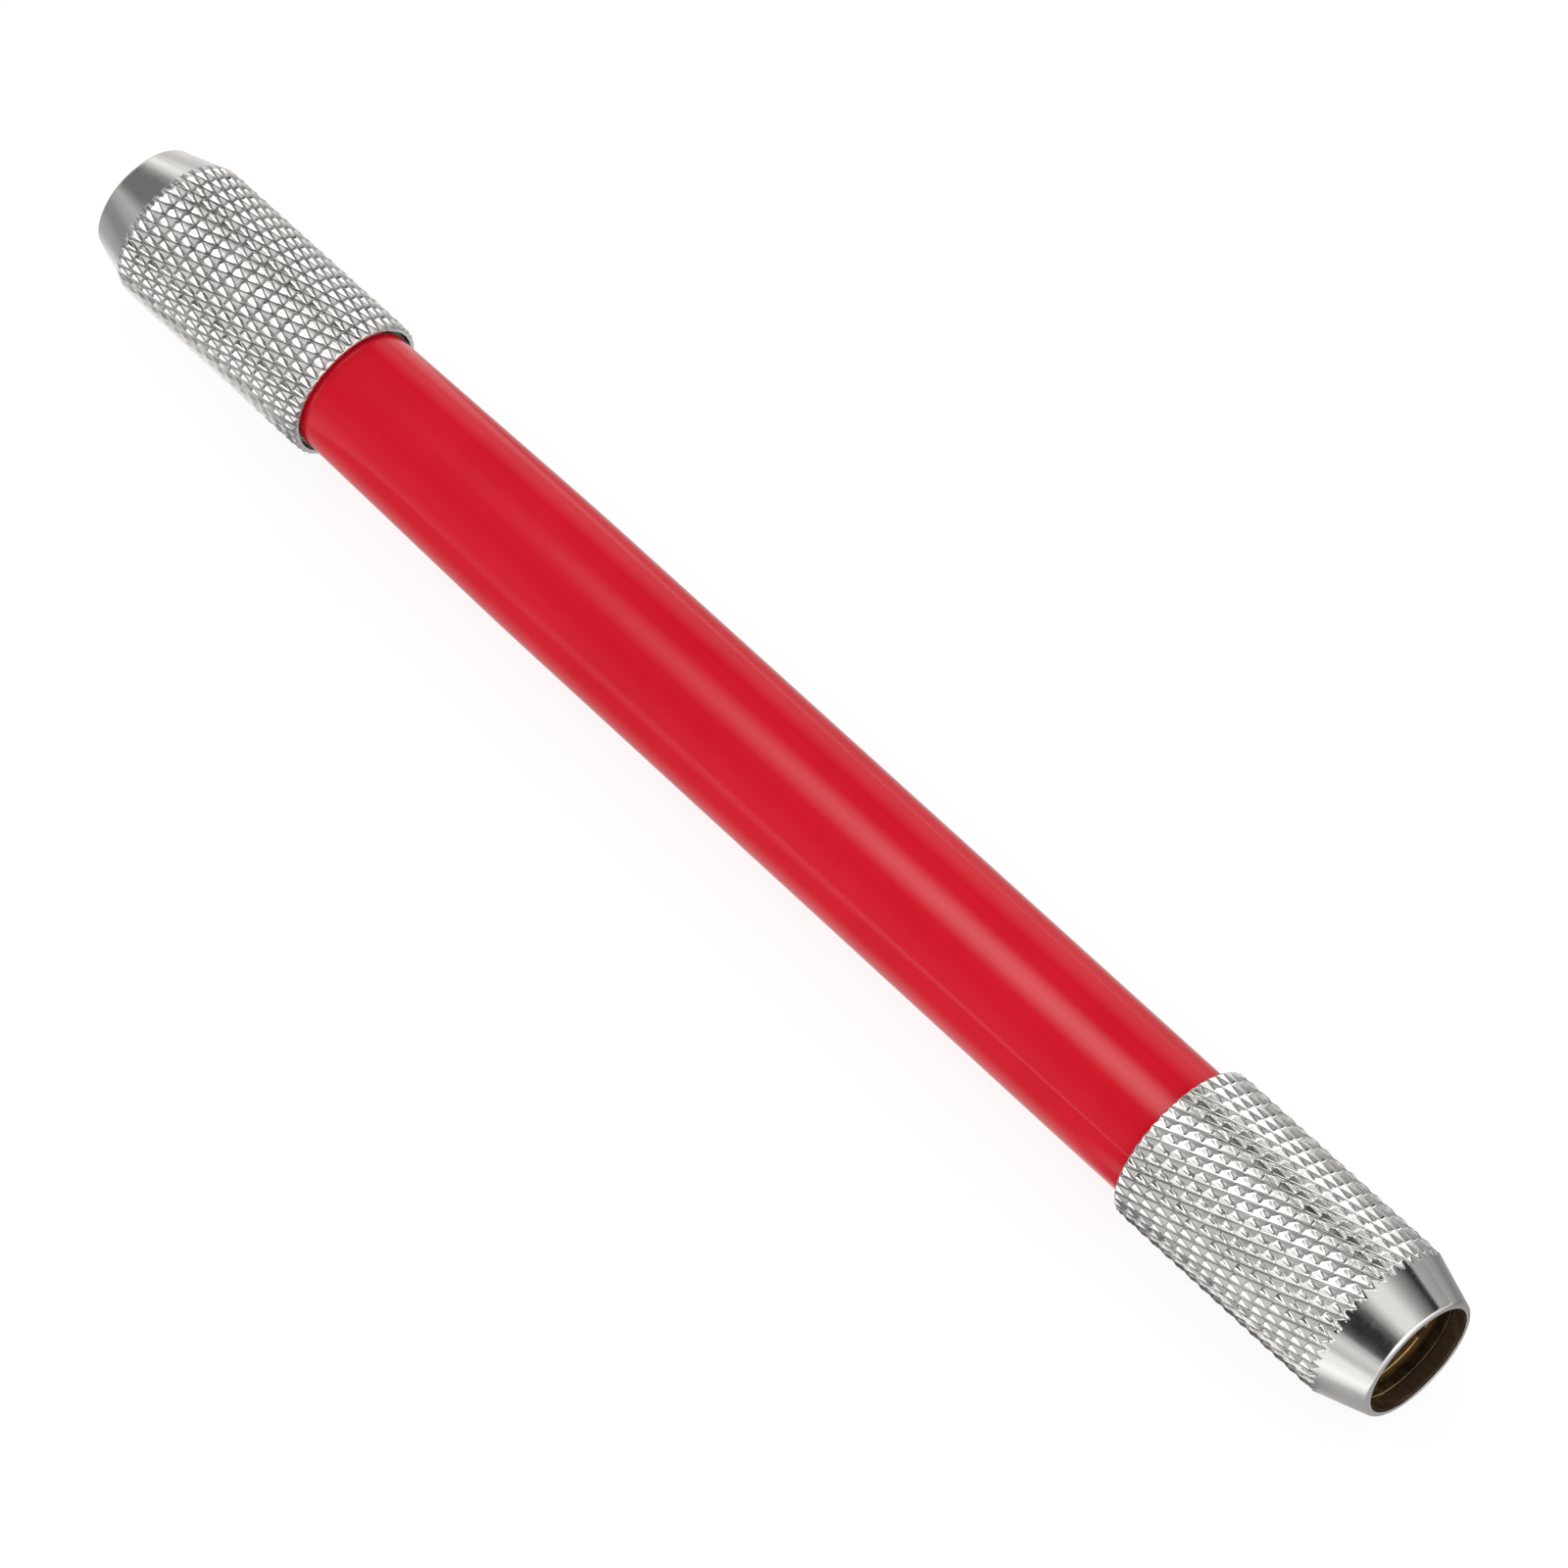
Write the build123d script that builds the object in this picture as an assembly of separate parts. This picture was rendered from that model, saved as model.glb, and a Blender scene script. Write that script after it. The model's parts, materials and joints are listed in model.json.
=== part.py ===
from build123d import *
import os
from collections import namedtuple
from math import radians, tan

# A pencil extender with a screw chuck at each end. Millimetres, the barrel's axis along X, +Z up.
# The large chuck points to +X and is called the front, the small one points to -X and is the rear.
# Everything is built outwards from the two pencil bores.

# Pencil bores
FRONT_BORE_D = 8.0
REAR_BORE_D = 7.1

# Lacquered tube, drawn down at the rear and spun in over the sleeves at both ends
TUBE_LENGTH = 80.4
TUBE_WALL = 0.4
TUBE_END_ROUND = 0.65
TUBE_END_LAND = 0.05
TAPER_LENGTH = 19.7

# Brass jaw sleeves: a neck with a rolled thread outside the tube and a shank inside it
NECK_WALL = 0.4
NECK_LENGTH = 8.9
FRONT_SHOULDER = 0.2
REAR_SHOULDER = 0.335
SHANK_LENGTH = 6.0

# Spring jaws in front of each neck
JAW_COUNT = 4
JAW_LENGTH = 10.0
JAW_RELIEF = 0.05
JAW_SLIT = 0.8
JAW_TIP_LAND = 0.08

# Brass wedge rings that the collars push over the jaw tips
WEDGE_ANGLE = 20.0
RING_LENGTH = 1.75
RING_EDGE = 0.05

# Screw collars
FRONT_SKIRT_WALL = 0.625
REAR_SKIRT_WALL = 0.455
SKIRT_SPARE = 2.0
COLLAR_OVERLAP = 0.4
COLLAR_CHAMFER = 0.25
RIM_LAND = 0.1
MOUTH_DEPTH = 1.2
MOUTH_EASE = 0.225
LIP_WALL = 0.4
LIP_ROUND = 0.15
LIP_LAND = 0.02
NOSE_LENGTH = 4.0
THREAD_PITCH = 0.75
TIGHTENING_TURNS = 1.0

# Clearances, each on the radius or along the axis
THREAD_CLEARANCE = 0.05
SHANK_CLEARANCE = 0.03
SKIRT_CLEARANCE = 0.3
RING_BORE_CLEARANCE = 0.05
RING_END_CLEARANCE = 0.05
WEDGE_CLEARANCE = 0.05

# How far a collar travels along the barrel when it is tightened
COLLAR_TRAVEL = THREAD_PITCH * TIGHTENING_TURNS
WEDGE_SLOPE = tan(radians(WEDGE_ANGLE))
TUBE_END_X = TUBE_LENGTH / 2

Head = namedtuple("Head", "name bore neck tube_bore tube_end skirt_wall")


def head_sizes(name, bore_d, shoulder, skirt_wall):
    """Radii of one chuck, from its pencil bore outwards to the end of the tube."""
    bore = bore_d / 2
    neck = bore + NECK_WALL
    tube_bore = neck + shoulder
    return Head(name, bore, neck, tube_bore, tube_bore + TUBE_WALL, skirt_wall)


FRONT = head_sizes("front", FRONT_BORE_D, FRONT_SHOULDER, FRONT_SKIRT_WALL)
REAR = head_sizes("rear", REAR_BORE_D, REAR_SHOULDER, REAR_SKIRT_WALL)


def turned(*points, rounds=()):
    """Ring turned about the X axis from an outline of (x, radius) points, with its rounded corners."""
    face = make_face(Polyline(*[(x, 0, r) for x, r in points], close=True))
    for x, r, corner_radius in rounds:
        corner = face.vertices().sort_by_distance((x, 0, r))[0]
        face = fillet(corner, corner_radius)
    return revolve(face, Axis.X)


def barrel_tube():
    """Red tube: straight from the front, drawn down at the rear, both ends turned in over a sleeve."""
    front_hole = FRONT.neck + SHANK_CLEARANCE
    rear_hole = REAR.neck + SHANK_CLEARANCE
    taper_x = TAPER_LENGTH - TUBE_END_X
    inner_x = TUBE_END_X - TUBE_WALL
    front_round = min(TUBE_END_ROUND, FRONT.tube_end - front_hole - TUBE_END_LAND)
    rear_round = min(TUBE_END_ROUND, REAR.tube_end - rear_hole - TUBE_END_LAND)
    return turned(
        (-TUBE_END_X, rear_hole),
        (-TUBE_END_X, REAR.tube_end),
        (taper_x, FRONT.tube_end),
        (TUBE_END_X, FRONT.tube_end),
        (TUBE_END_X, front_hole),
        (inner_x, front_hole),
        (inner_x, FRONT.tube_bore),
        (taper_x, FRONT.tube_bore),
        (-inner_x, REAR.tube_bore),
        (-inner_x, rear_hole),
        rounds=[
            (TUBE_END_X, FRONT.tube_end, front_round),
            (-TUBE_END_X, REAR.tube_end, rear_round),
        ],
    )


def jaw_root_x():
    """Where the neck ends and the jaws begin."""
    return TUBE_END_X + NECK_LENGTH


def jaw_tip_x():
    return jaw_root_x() + JAW_LENGTH


def jaw_sleeve(head):
    """Brass sleeve: the shank sits in the tube, its shoulder against the turned-in end."""
    shank = head.tube_bore - SHANK_CLEARANCE
    shoulder_x = TUBE_END_X - TUBE_WALL
    back_x = shoulder_x - SHANK_LENGTH
    return turned(
        (back_x, head.bore),
        (back_x, shank),
        (shoulder_x, shank),
        (shoulder_x, head.neck),
        (jaw_root_x(), head.neck),
        (jaw_root_x(), head.bore),
    )


def jaws(head):
    """Four spring fingers, cut from one turned ring by crossed slits, the first one at the top."""
    outside = head.neck - JAW_RELIEF
    tip = head.bore + JAW_TIP_LAND
    bevel_x = jaw_tip_x() - (outside - tip) / WEDGE_SLOPE
    ring = turned(
        (jaw_root_x(), head.bore),
        (jaw_root_x(), outside),
        (bevel_x, outside),
        (jaw_tip_x(), tip),
        (jaw_tip_x(), head.bore),
    )
    step = 360 / JAW_COUNT
    slit = Box(JAW_LENGTH, JAW_SLIT, outside, align=(Align.MIN, Align.CENTER, Align.MIN))
    for number in range(JAW_COUNT):
        ring -= Rot(X=step * (number + 0.5)) * Pos(X=jaw_root_x()) * slit
    top = ring.solids().sort_by(Axis.Z)[-1]
    return [Rot(X=step * number) * top for number in range(JAW_COUNT)]


def ring_radii(head):
    """Bore, cone mouth and outside of a wedge ring."""
    return head.bore + RING_BORE_CLEARANCE, head.neck - RING_EDGE, head.neck


def ring_back_x(head):
    """The ring's inner end, set so that its cone just clears the bevelled jaw tips."""
    bore, cone, _ = ring_radii(head)
    tip = head.bore + JAW_TIP_LAND
    cone_x = jaw_tip_x() + (WEDGE_CLEARANCE + tip - bore) / WEDGE_SLOPE
    return cone_x - (cone - bore) / WEDGE_SLOPE


def wedge_ring(head):
    """Loose brass ring with a conical mouth, pushed along by the collar without turning."""
    bore, cone, outside = ring_radii(head)
    back_x = ring_back_x(head)
    front_x = back_x + RING_LENGTH
    cone_x = back_x + (cone - bore) / WEDGE_SLOPE
    return turned((back_x, cone), (back_x, outside), (front_x, outside), (front_x, bore), (cone_x, bore))


def collar(head):
    """Nickel-plated screw collar: skirt over the tube, threaded bore, conical nose with a round lip."""
    skirt = head.tube_end + SKIRT_CLEARANCE
    outside = skirt + head.skirt_wall
    bore = head.neck + THREAD_CLEARANCE
    mouth = head.bore + MOUTH_EASE
    lip = mouth + LIP_WALL
    chamfer = min(COLLAR_CHAMFER, head.skirt_wall - RIM_LAND)
    lip_round = min(LIP_ROUND, LIP_WALL / 2 - LIP_LAND)
    rim_x = TUBE_END_X - COLLAR_OVERLAP
    skirt_x = TUBE_END_X + COLLAR_TRAVEL + SKIRT_SPARE
    seat_x = ring_back_x(head) + RING_LENGTH + RING_END_CLEARANCE
    front_x = seat_x + MOUTH_DEPTH
    return turned(
        (rim_x, skirt),
        (rim_x, outside - chamfer),
        (rim_x + chamfer, outside),
        (front_x - NOSE_LENGTH, outside),
        (front_x, lip),
        (front_x, mouth),
        (seat_x, mouth),
        (seat_x, bore),
        (skirt_x, bore),
        (skirt_x, skirt),
        rounds=[(front_x, lip, lip_round), (front_x, mouth, lip_round)],
    )


def chuck(head):
    """The named pieces of one chuck, in place at the +X end."""
    pieces = {
        f"{head.name}_jaw_sleeve": jaw_sleeve(head),
        f"{head.name}_wedge_ring": wedge_ring(head),
        f"{head.name}_collar": collar(head),
    }
    for number, jaw in enumerate(jaws(head), start=1):
        pieces[f"{head.name}_jaw_{number}"] = jaw
    return pieces


parts = {"barrel_tube": barrel_tube()}
parts.update(chuck(FRONT))
for node, piece in chuck(REAR).items():
    parts[node] = mirror(piece, about=Plane.YZ)

os.makedirs("parts", exist_ok=True)
for node, piece in parts.items():
    export_step(piece, f"parts/{node}.step")
    box = piece.bounding_box()
    print(node, [round(size, 3) for size in box.size], "volume", round(piece.volume, 2))
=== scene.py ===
# %% [markdown]
# A pencil extender with two heads: a red lacquered tube, and at each end a knurled, nickel-plated screw collar
# that closes brass jaws on a pencil stub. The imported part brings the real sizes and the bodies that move, so
# each piece below is made in metres right where the part has it. The barrel's axis is X, and the large head,
# called the front, points to +X.

# %% Load the part
import json
from math import cos, pi, radians, sin, tan
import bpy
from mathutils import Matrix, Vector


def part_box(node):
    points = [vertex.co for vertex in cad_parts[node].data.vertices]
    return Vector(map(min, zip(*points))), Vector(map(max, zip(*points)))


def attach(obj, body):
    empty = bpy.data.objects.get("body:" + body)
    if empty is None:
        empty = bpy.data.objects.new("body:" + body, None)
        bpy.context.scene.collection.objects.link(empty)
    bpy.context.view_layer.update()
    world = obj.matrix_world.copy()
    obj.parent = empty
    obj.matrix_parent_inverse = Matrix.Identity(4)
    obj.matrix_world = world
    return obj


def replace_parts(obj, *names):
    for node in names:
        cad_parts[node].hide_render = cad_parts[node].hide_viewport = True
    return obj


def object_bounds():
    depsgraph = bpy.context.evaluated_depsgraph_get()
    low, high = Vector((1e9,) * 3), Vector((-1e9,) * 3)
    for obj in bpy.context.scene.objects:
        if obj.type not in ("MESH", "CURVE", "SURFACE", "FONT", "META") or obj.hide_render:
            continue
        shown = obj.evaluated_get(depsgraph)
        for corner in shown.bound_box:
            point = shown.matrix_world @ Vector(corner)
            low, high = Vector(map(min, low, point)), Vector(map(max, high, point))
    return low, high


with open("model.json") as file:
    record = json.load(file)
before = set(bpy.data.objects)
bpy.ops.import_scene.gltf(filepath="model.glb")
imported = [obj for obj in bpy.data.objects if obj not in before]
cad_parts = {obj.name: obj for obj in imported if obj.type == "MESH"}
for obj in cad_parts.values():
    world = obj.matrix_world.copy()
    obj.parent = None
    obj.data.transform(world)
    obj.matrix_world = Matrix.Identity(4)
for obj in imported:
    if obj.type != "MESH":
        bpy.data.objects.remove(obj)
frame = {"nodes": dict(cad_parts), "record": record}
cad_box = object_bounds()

from types import SimpleNamespace

import bmesh
import bpy
import numpy as np
from mathutils import Vector

MM = 0.001
# Which way each head points along X
HEADS = {"front": 1, "rear": -1}
print("CAD box, mm:", [[round(v / MM, 3) for v in corner] for corner in cad_box])

# %% [markdown]
# The picture is taken from above, with the large mouth nearest to us, through a long lens that hardly makes
# the far end smaller. A camera can be placed by eye, but then every later comparison is a guess. Here it is
# given as a photographer would note it: the point aimed at, the distance, the height angle and the bearing.

# %% Camera
AIM = Vector((2.825, -0.203, 0.219)) * MM
CAMERA_DISTANCE = 637.75 * MM
CAMERA_HEIGHT_ANGLE = radians(56.825)
CAMERA_BEARING = radians(-42.554)
LENS_MM = 224.9
NEAREST_SEEN = 10 * MM


def direction(bearing, height_angle):
    """Unit vector at a bearing from +X towards +Y and an angle above the floor."""
    level = cos(height_angle)
    return Vector((level * cos(bearing), level * sin(bearing), sin(height_angle)))


camera_data = bpy.data.cameras.new("camera")
camera_data.lens = LENS_MM
camera_data.clip_start = NEAREST_SEEN
camera = bpy.data.objects.new("camera", camera_data)
towards_camera = direction(CAMERA_BEARING, CAMERA_HEIGHT_ANGLE)
camera.location = AIM + CAMERA_DISTANCE * towards_camera
camera.rotation_euler = (-towards_camera).to_track_quat("-Z", "Y").to_euler()
bpy.context.scene.collection.objects.link(camera)
bpy.context.scene.camera = camera
print("camera at, mm:", [round(v / MM, 1) for v in camera.location])

# %% [markdown]
# Nearly everything here was turned on a lathe, so one helper makes all the meshes: it takes rows of points
# around the X axis and closes them into a skin. Blender's Spin or Screw tools would do for plain turned pieces,
# but a knurl has a different radius at each point around, and a row that takes one radius per column covers
# both. The cells of a knurl are also split along one diagonal or the other, so that its creases stay straight.

# %% Turned skins
SMOOTH_UNDER = radians(30)


def ring_faces(row_count, columns, splits):
    """Faces between neighbouring rows; a cell is a quad, or is split along one of its diagonals."""
    corner = np.arange(row_count * columns).reshape(row_count, columns)
    beside = np.roll(corner, -1, axis=1)
    after = np.roll(corner, -1, axis=0)
    opposite = np.roll(beside, -1, axis=0)
    quads = np.stack([corner, beside, opposite, after], axis=-1)
    faces = quads[splits == 0].tolist()
    for quad in quads[splits == 1].tolist():
        faces += [quad[:3], [quad[0], quad[2], quad[3]]]
    for quad in quads[splits == 2].tolist():
        faces += [[quad[0], quad[1], quad[3]], quad[1:]]
    return faces


def even_turn(columns):
    """Angles of evenly spaced columns around the axis."""
    return 2 * pi * np.arange(columns) / columns


def turned_skin(name, rows, angles, splits=None, smooth_under=SMOOTH_UNDER):
    """Closed object around X from rows of (x, radius), in metres, the radius one number or one per angle."""
    columns = len(angles)
    x = np.array([np.broadcast_to(row[0], columns) for row in rows])
    radius = np.array([np.broadcast_to(row[1], columns) for row in rows])
    points = np.stack([x, radius * np.cos(angles), radius * np.sin(angles)], axis=-1)
    if splits is None:
        splits = np.zeros(radius.shape, int)
    mesh = bpy.data.meshes.new(name)
    mesh.from_pydata(points.reshape(-1, 3).tolist(), [], ring_faces(len(rows), columns, splits))
    shell = bmesh.new()
    shell.from_mesh(mesh)
    bmesh.ops.recalc_face_normals(shell, faces=shell.faces)
    shell.to_mesh(mesh)
    shell.free()
    mesh.shade_smooth()
    mesh.set_sharp_from_angle(angle=smooth_under)
    piece = bpy.data.objects.new(name, mesh)
    bpy.context.scene.collection.objects.link(piece)
    print(name, "faces:", len(mesh.polygons))
    return piece


# %% [markdown]
# Turned edges are never quite sharp: the tool's tip leaves a small arc, and polishing widens it. A Bevel modifier
# could round them, but it needs marked edges. It is simpler to round the outline before it is turned.

# %% Rounded outlines
ARC_STEPS = 8


def rounded(points, roundings):
    """Outline of (x, radius) points in which the numbered corners become arcs, {corner number: arc radius}."""
    outline = []
    for number, point in enumerate(points):
        corner = Vector(point)
        if number not in roundings:
            outline.append(tuple(corner))
            continue
        back = (Vector(points[number - 1]) - corner).normalized()
        ahead = (Vector(points[(number + 1) % len(points)]) - corner).normalized()
        half = back.angle(ahead) / 2
        centre = corner + (back + ahead).normalized() * roundings[number] / sin(half)
        reach = roundings[number] / tan(half)
        first = corner + back * reach - centre
        last = corner + ahead * reach - centre
        sweep = pi - 2 * half
        for step in range(ARC_STEPS + 1):
            share = step / ARC_STEPS
            arm = first * sin((1 - share) * sweep) + last * sin(share * sweep)
            outline.append(tuple(centre + arm / sin(sweep)))
    return outline


print("points on a rounded corner:", ARC_STEPS + 1)

# %% [markdown]
# The tube is drawn down a little over its rear fifth, so that it fits the smaller head, and both its ends are
# turned in with a soft shoulder. The far shoulder shows as a thin dark line beside the small collar. A cylinder
# with a bevel would look close, but long faces that share normals with a bend shade unevenly, so the outline
# gets a second point close to each bend, and the bend itself is a long easy curve. Only the outside was sprayed:
# a value stored on the mesh's points tells the material which of them lie inside, where the metal is bare.

# %% Lacquered tube
TUBE_COLUMNS = 240
TUBE_WALL = 0.4 * MM
REAR_END_RADIUS = 4.685 * MM
TAPER_LENGTH = 19.7 * MM
TAPER_EASE = 3.0 * MM
EASE_SPOTS = (-1, -0.5, 0, 0.5, 1)
TUBE_SHOULDERS = {"front": 0.52 * MM, "rear": 0.3 * MM}
NECK_WALL = 0.4 * MM
SHANK_CLEARANCE = 0.03 * MM
BEND_SUPPORT = 0.25 * MM
sockets = {mount["name"]: mount["dims"] for mount in frame["record"]["mounts"]}
pencil_radius = {head: sockets[f"{head}_pencil_socket"]["r_mm"] * MM for head in HEADS}


def tube_outline():
    """Outline of the tube from the rear hole over the outside and back inside, and how many points are inside."""
    low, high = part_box("barrel_tube")
    radius = high.z
    hole = {head: pencil_radius[head] + NECK_WALL + SHANK_CLEARANCE for head in HEADS}
    taper_x = low.x + TAPER_LENGTH
    slope = (radius - REAR_END_RADIUS) / TAPER_LENGTH
    after_rear = low.x + TUBE_SHOULDERS["rear"] + BEND_SUPPORT
    before_front = high.x - TUBE_SHOULDERS["front"] - BEND_SUPPORT
    ease = [taper_x + TAPER_EASE * spot for spot in EASE_SPOTS]
    drop = [slope * (taper_x + TAPER_EASE - x) ** 2 / (4 * TAPER_EASE) for x in ease]

    outside = [(low.x, hole["rear"]), (low.x, REAR_END_RADIUS)]
    outside += [(after_rear, REAR_END_RADIUS + slope * (after_rear - low.x))]
    outside += [(x, radius - fall) for x, fall in zip(ease, drop)]
    outside += [(before_front, radius), (high.x, radius), (high.x, hole["front"])]
    inside = [(high.x - TUBE_WALL, hole["front"]), (high.x - TUBE_WALL, radius - TUBE_WALL)]
    inside += [(taper_x, radius - TUBE_WALL), (low.x + TUBE_WALL, REAR_END_RADIUS - TUBE_WALL)]
    inside += [(low.x + TUBE_WALL, hole["rear"])]
    shoulders = {1: TUBE_SHOULDERS["rear"], len(outside) - 2: TUBE_SHOULDERS["front"]}
    return rounded(outside + inside, shoulders), len(inside)


def point_values(piece, name, values):
    """Stores one value per point on a piece's mesh, for its material to read."""
    attribute = piece.data.attributes.new(name, "FLOAT", "POINT")
    attribute.data.foreach_set("value", np.ravel(values))


rows, inside_count = tube_outline()
tube = turned_skin("lacquered_tube", rows, even_turn(TUBE_COLUMNS))
bare = np.zeros((len(rows), TUBE_COLUMNS))
bare[-inside_count:] = 1
point_values(tube, "bare", bare)
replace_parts(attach(tube, "barrel"), "barrel_tube")

# %% [markdown]
# Each collar's grip is a diamond knurl: two sets of V grooves that wind around it in opposite directions and
# leave small four-sided pyramids. A bump map would stay flat at the outline and in the mouth of the rim, so the
# knurl is real geometry. Around the collar we count grooves, along it we count groove shifts; their sum and
# difference tell how far a point is across a groove of the one or the other set, and the deeper cut wins.
# On the large head one set is cut a little less deep, so its pyramids line up in rows, and everywhere the depth
# drifts a little, as it does when rollers press it. A grid line lies on every edge of the pyramids, so that
# creases run exactly along edges or cell diagonals.

# %% Knurl
GROOVES = {"front": 43, "rear": 40}
GROOVE_SHIFT = 2.25 * MM
KNURL_DEPTH = 0.25 * MM
# By how much of the full depth the second set is cut less deep
CROSSING_LIFT = {"front": 0.12, "rear": 0.0}
DEPTH_SPREAD = 0.1
CELLS_PER_FLANK = {"front": 4, "rear": 5}


def knurl_steps(head, pitches):
    """Places of grid lines over a number of groove pitches, with one on every edge of the pyramids."""
    edge_shift = CROSSING_LIFT[head] / 4
    flank = np.linspace(edge_shift, 0.5 - edge_shift, CELLS_PER_FLANK[head] + 1)
    half = np.append(0.0, flank) if edge_shift else flank[:-1]
    return (np.arange(2 * pitches)[:, None] / 2 + half).ravel()


def cut_share(phase):
    """Share of the full depth that one set of grooves cuts at a phase; grooves sit at whole numbers."""
    return np.abs(2 * (phase % 1) - 1)


def knurl_cuts(head, around, along):
    """Cuts of both groove sets at places around the collar, in pitches, and at distances along it."""
    shift = np.asarray(along)[:, None] / GROOVE_SHIFT
    turn = 2 * pi * around / GROOVES[head]
    uneven = np.sin(2 * turn + shift) * np.sin(3 * turn - 2 * shift)
    depth = KNURL_DEPTH * (1 - DEPTH_SPREAD * uneven**2)
    first = cut_share(around + shift)
    second = np.maximum(cut_share(around - shift) - CROSSING_LIFT[head], 0)
    return first * depth, second * depth


for head, count in GROOVES.items():
    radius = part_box(f"{head}_collar")[1].z
    print(head, "knurl pitch around, mm:", round(2 * pi * radius / count / MM, 3))

# %% [markdown]
# A collar is more than its grip: a chamfered rear rim over the tube, a smooth conical nose that cuts the knurl in
# a zigzag, a rounded lip, and inside it the mouth, the seat for the wedge ring, the threaded bore and the skirt.
# All its sizes follow from the part's box and from the pencil that it has to pass, so they are worked out first.

# %% Collar sizes
SKIRT_WALL = {"front": 0.625 * MM, "rear": 0.455 * MM}
NOSE_LENGTH = 4.0 * MM
LIP_WALL = 0.4 * MM
MOUTH_EASE = 0.225 * MM
THREAD_CLEARANCE = 0.05 * MM


def collar_sizes(head):
    """Sizes of one collar: where its rim is, places along it from the rim, and radii."""
    low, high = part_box(f"{head}_collar")
    length = high.x - low.x
    mouth = pencil_radius[head] + MOUTH_EASE
    lip = mouth + LIP_WALL
    return SimpleNamespace(
        rim_x=min(HEADS[head] * low.x, HEADS[head] * high.x),
        length=length,
        nose_start=length - NOSE_LENGTH,
        outside=high.z,
        lip=lip,
        mouth=mouth,
        bore=pencil_radius[head] + NECK_WALL + THREAD_CLEARANCE,
        skirt=high.z - SKIRT_WALL[head],
        cone_slope=(high.z - lip) / NOSE_LENGTH,
    )


collar_size = {head: collar_sizes(head) for head in HEADS}
for head, size in collar_size.items():
    print(head, "collar, mm:", round(size.length / MM, 2), "long,", round(2 * size.outside / MM, 2), "across")

# %% [markdown]
# Seen in section, a collar has two parts. The outside has many rows, for the knurl, and they lie closer together
# where the nose meets it, or the zigzag would look torn. The rest, from the smooth nose over the lip to the skirt,
# is a plain turned outline with a rounded lip.

# %% Collar outline
RIM_CHAMFER = 0.22 * MM
CHAMFER_ROWS = 5
ZIGZAG_ROWS = 18
ZIGZAG_SPARE = 1.1
SKIRT_DEPTH = 3.15 * MM
SKIRT_ROWS = 2
MOUTH_DEPTH = 1.2 * MM
LIP_OUTER_ROUND = 0.34 * MM
LIP_LAND = 0.02 * MM
LIP_SUPPORT = 0.3 * MM


def nose_radius(size, along):
    """Radius of the nose's cone at distances from the rim."""
    return size.outside - size.cone_slope * (along - size.nose_start)


def outside_stations(head, size):
    """Distances from the rim of the rows on the outside, up to where the nose is smooth."""
    zigzag_end = size.nose_start + ZIGZAG_SPARE * KNURL_DEPTH / size.cone_slope
    grip = GROOVE_SHIFT * knurl_steps(head, int(size.nose_start / GROOVE_SHIFT) + 1)
    chamfer = np.linspace(0, RIM_CHAMFER, CHAMFER_ROWS)
    zigzag = np.linspace(size.nose_start, zigzag_end, ZIGZAG_ROWS)
    return np.unique(np.concatenate([grip[grip < size.nose_start], chamfer, zigzag]).round(9))


def nose_to_skirt(size, smooth_from):
    """Outline from the smooth nose over the lip, through mouth and bore, to the skirt."""
    points = [
        (smooth_from, nose_radius(size, smooth_from)),
        (size.length, size.lip),
        (size.length, size.mouth),
        (size.length - LIP_SUPPORT, size.mouth),
        (size.length - MOUTH_DEPTH, size.mouth),
        (size.length - MOUTH_DEPTH, size.bore),
        (SKIRT_DEPTH, size.bore),
        (SKIRT_DEPTH, size.skirt),
        (0, size.skirt),
    ]
    return rounded(points, {1: LIP_OUTER_ROUND, 2: LIP_WALL - LIP_OUTER_ROUND - LIP_LAND})


print("rows on the outside:", {head: len(outside_stations(head, size)) for head, size in collar_size.items()})

# %% [markdown]
# Now the collars are turned. At each point, the outside is the smallest of three radii: knurl, chamfer and nose.
# Each cell is split so that its diagonal follows the groove that cuts there. How deep each point is cut, whether
# it is on the grip and whether it is inside are stored on the mesh for the plating material to use.

# %% Screw collars
SHARP_KNURL_OVER = radians(75)
# Rows after the outside before the mouth starts: one on the nose and the lip's two arcs
LIP_ROWS = 1 + 2 * (ARC_STEPS + 1)


def knurled_collar(head, size):
    """One screw collar, in place at its end of the barrel."""
    stations = outside_stations(head, size)
    outer = len(stations)
    around = knurl_steps(head, GROOVES[head])
    first, second = knurl_cuts(head, around, stations)
    knurl = size.outside - np.maximum(first, second)
    chamfer = size.outside - RIM_CHAMFER + stations
    smooth = np.minimum(np.minimum(chamfer, nose_radius(size, stations)), size.outside)[:, None]
    rows = list(zip(stations, np.minimum(knurl, smooth)))
    rows += nose_to_skirt(size, stations[-1] + BEND_SUPPORT)
    rows = [(HEADS[head] * (size.rim_x + along), radius) for along, radius in rows]

    splits = np.zeros((len(rows), len(around)), int)
    splits[: outer - 1] = np.where(first > second, 2, 1)[:-1]
    angles = 2 * pi * around / GROOVES[head]
    piece = turned_skin(f"{head}_knurled_collar", rows, angles, splits, SHARP_KNURL_OVER)

    marks = {name: np.zeros(splits.shape) for name in ("groove", "gripped", "inside")}
    marks["groove"][:outer] = (size.outside - knurl) / KNURL_DEPTH
    marks["gripped"][:outer] = knurl <= smooth
    # Mouth and bore get the dark inside colour, partly painted shade; the skirt rows keep the plating
    marks["inside"][outer + LIP_ROWS : -SKIRT_ROWS] = 1
    for name, values in marks.items():
        point_values(piece, name, values)
    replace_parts(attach(piece, f"{head}_collar"), f"{head}_collar")
    return piece


collars = {head: knurled_collar(head, size) for head, size in collar_size.items()}

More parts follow.
